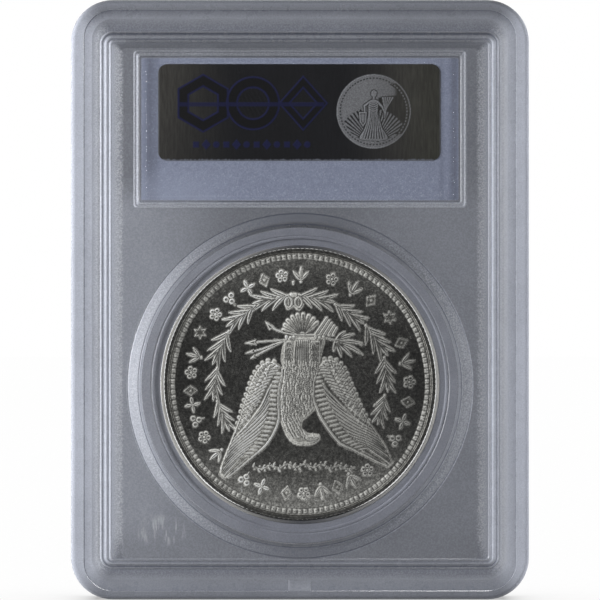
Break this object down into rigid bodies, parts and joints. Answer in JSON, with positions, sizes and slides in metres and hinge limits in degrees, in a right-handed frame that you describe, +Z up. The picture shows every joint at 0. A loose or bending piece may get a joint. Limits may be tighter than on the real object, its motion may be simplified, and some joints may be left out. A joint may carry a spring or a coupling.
{
  "type": "graded coin slab",
  "caption": "Sealed clear rectangular coin holder with a round coin window, a gasket ring round a large silver coin, and a label window over a card with a foil seal.",
  "frame": {"origin": "middle of the bottom edge, on the weld seam plane", "axes": "+X across the width, +Z up the height from the coin to the label, +Y from the back with the foil seal to the front with the printed label"},
  "size_m": [0.064, 0.0076, 0.0838],
  "materials": {
    "clear_plastic_back": "clear moulded plastic, frosted at the rim slope",
    "clear_plastic_front": "clear moulded plastic, frosted at the rim slope",
    "ring_plastic": "translucent soft plastic",
    "silver": "struck silver, bright fields and frosted relief",
    "card_stock": "light blue speckled card",
    "foil": "dark metallic foil sticker"
  },
  "bodies": {
    "root": {"back_shell": "clear_plastic_back", "front_shell": "clear_plastic_front", "coin_ring": "ring_plastic", "coin": "silver", "label_card": "card_stock", "foil_seal": "foil"}
  },
  "joints": []
}
